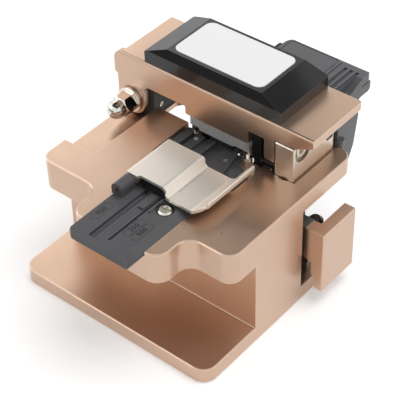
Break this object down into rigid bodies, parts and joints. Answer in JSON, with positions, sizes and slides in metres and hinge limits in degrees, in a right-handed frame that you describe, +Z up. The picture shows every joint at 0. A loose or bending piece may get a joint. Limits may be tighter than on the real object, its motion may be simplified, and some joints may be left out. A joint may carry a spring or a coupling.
{
  "type": "fibre_cleaver",
  "caption": "Bench-top optical fibre cleaver: champagne anodised body, grooved fibre holder with lid, sprung top arm, sliding round blade and scrap bin",
  "frame": {"origin": "centre of the foot's footprint, on the table the rubber feet stand on", "axes": "+X runs along the arm from its pivot to the push block, +Y along the fibre from the holder to the scrap bin, +Z up"},
  "size_m": [0.0703, 0.0835, 0.0572],
  "materials": {
    "champagne_anodised": "satin anodised aluminium, fine milled grain",
    "black_anodised": "black anodised aluminium, satin",
    "nickel": "nickel-plated steel, soft polish",
    "steel": "ground stainless steel",
    "black_plastic": "moulded plastic, fine grain",
    "black_gloss": "polished black plastic",
    "grey_plastic": "dark grey moulded plastic",
    "label_film": "white film label, blank",
    "rubber": "moulded rubber",
    "carbide": "ground hard metal"
  },
  "bodies": {
    "base": {"main_body": "champagne_anodised", "rubber_feet": "rubber", "fibre_holder": "black_anodised", "holder_screws": "steel", "lid_hinge_pin": "steel", "front_rest": "black_anodised", "rest_screws": "steel", "front_pad": "rubber", "rear_rest": "black_anodised", "rear_pad": "rubber", "rear_rest_screws": "steel", "window_guard": "black_anodised", "guard_screw": "steel", "hinge_block": "black_anodised", "hinge_screws": "steel", "pivot_shaft": "steel", "pivot_washer": "nickel", "acorn_nut": "nickel", "stop_block": "nickel", "stop_screw": "steel", "stop_magnet": "nickel", "stop_studs": "steel", "guide_rail": "steel", "rail_screws": "steel", "scrap_bin": "grey_plastic", "bin_screws": "steel", "bin_hinge_pin": "steel"},
    "top_arm": {"arm": "champagne_anodised", "top_cover": "black_plastic", "label_plate": "label_film", "cover_screws": "steel", "arm_keeper": "steel", "breaker_anvil": "steel", "arm_catch": "black_plastic", "guide_screws": "steel", "clamp_spring_left": "steel", "clamp_spring_right": "steel"},
    "clamp": {"clamp_bar": "steel", "clamp_tab": "steel", "clamp_pads": "rubber"},
    "holder_lid": {"clamp_lid": "nickel", "lid_press_block": "black_plastic", "lid_pads": "rubber"},
    "carriage": {"guide_truck": "steel", "blade_carriage": "black_anodised", "carriage_screws": "steel", "push_block": "champagne_anodised", "push_screws": "steel", "push_cap": "black_gloss", "wheel_screw": "steel"},
    "wheel": {"cutting_wheel": "carbide"},
    "lower_roller": {"drive_roller": "rubber"},
    "upper_roller": {"pinch_roller": "rubber"},
    "bin_cover": {"bin_lid": "grey_plastic", "bin_latch": "black_plastic"}
  },
  "joints": [
    {"name": "arm_hinge", "type": "hinge", "parent": "base", "child": "top_arm", "pos_m": [-0.0277, 0.02165, 0.0369], "axis": [0, -1, 0], "range_deg": [0, 75]},
    {"name": "clamp_spring_travel", "type": "slide", "parent": "top_arm", "child": "clamp", "axis": [0, 0, 1], "range_m": [0, 0.0012], "stiffness_N_per_m": 150, "springref_m": -0.002, "deforming": ["clamp_spring_left", "clamp_spring_right"]},
    {"name": "holder_lid_hinge", "type": "hinge", "parent": "base", "child": "holder_lid", "pos_m": [-0.0045, -0.01035, 0.0383], "axis": [0, -1, 0], "range_deg": [0, 90]},
    {"name": "carriage_slide", "type": "slide", "parent": "base", "child": "carriage", "axis": [1, 0, 0], "range_m": [0, 0.015]},
    {"name": "wheel_spin", "type": "hinge", "parent": "carriage", "child": "wheel", "pos_m": [-0.005, 0.01825, 0.0259], "axis": [0, 1, 0], "continuous": true},
    {"name": "drive_roller_spin", "type": "hinge", "parent": "base", "child": "lower_roller", "pos_m": [0.003, 0.03455, 0.03214], "axis": [1, 0, 0], "continuous": true},
    {"name": "pinch_roller_spin", "type": "hinge", "parent": "base", "child": "upper_roller", "pos_m": [0.003, 0.03455, 0.03626], "axis": [1, 0, 0], "continuous": true},
    {"name": "bin_lid_hinge", "type": "hinge", "parent": "base", "child": "bin_cover", "pos_m": [0.013, 0.04595, 0.04765], "axis": [-1, 0, 0], "range_deg": [0, 100]}
  ],
  "couplings": [
    {"joint": "pinch_roller_spin", "follows": "drive_roller_spin", "ratio": -1}
  ]
}
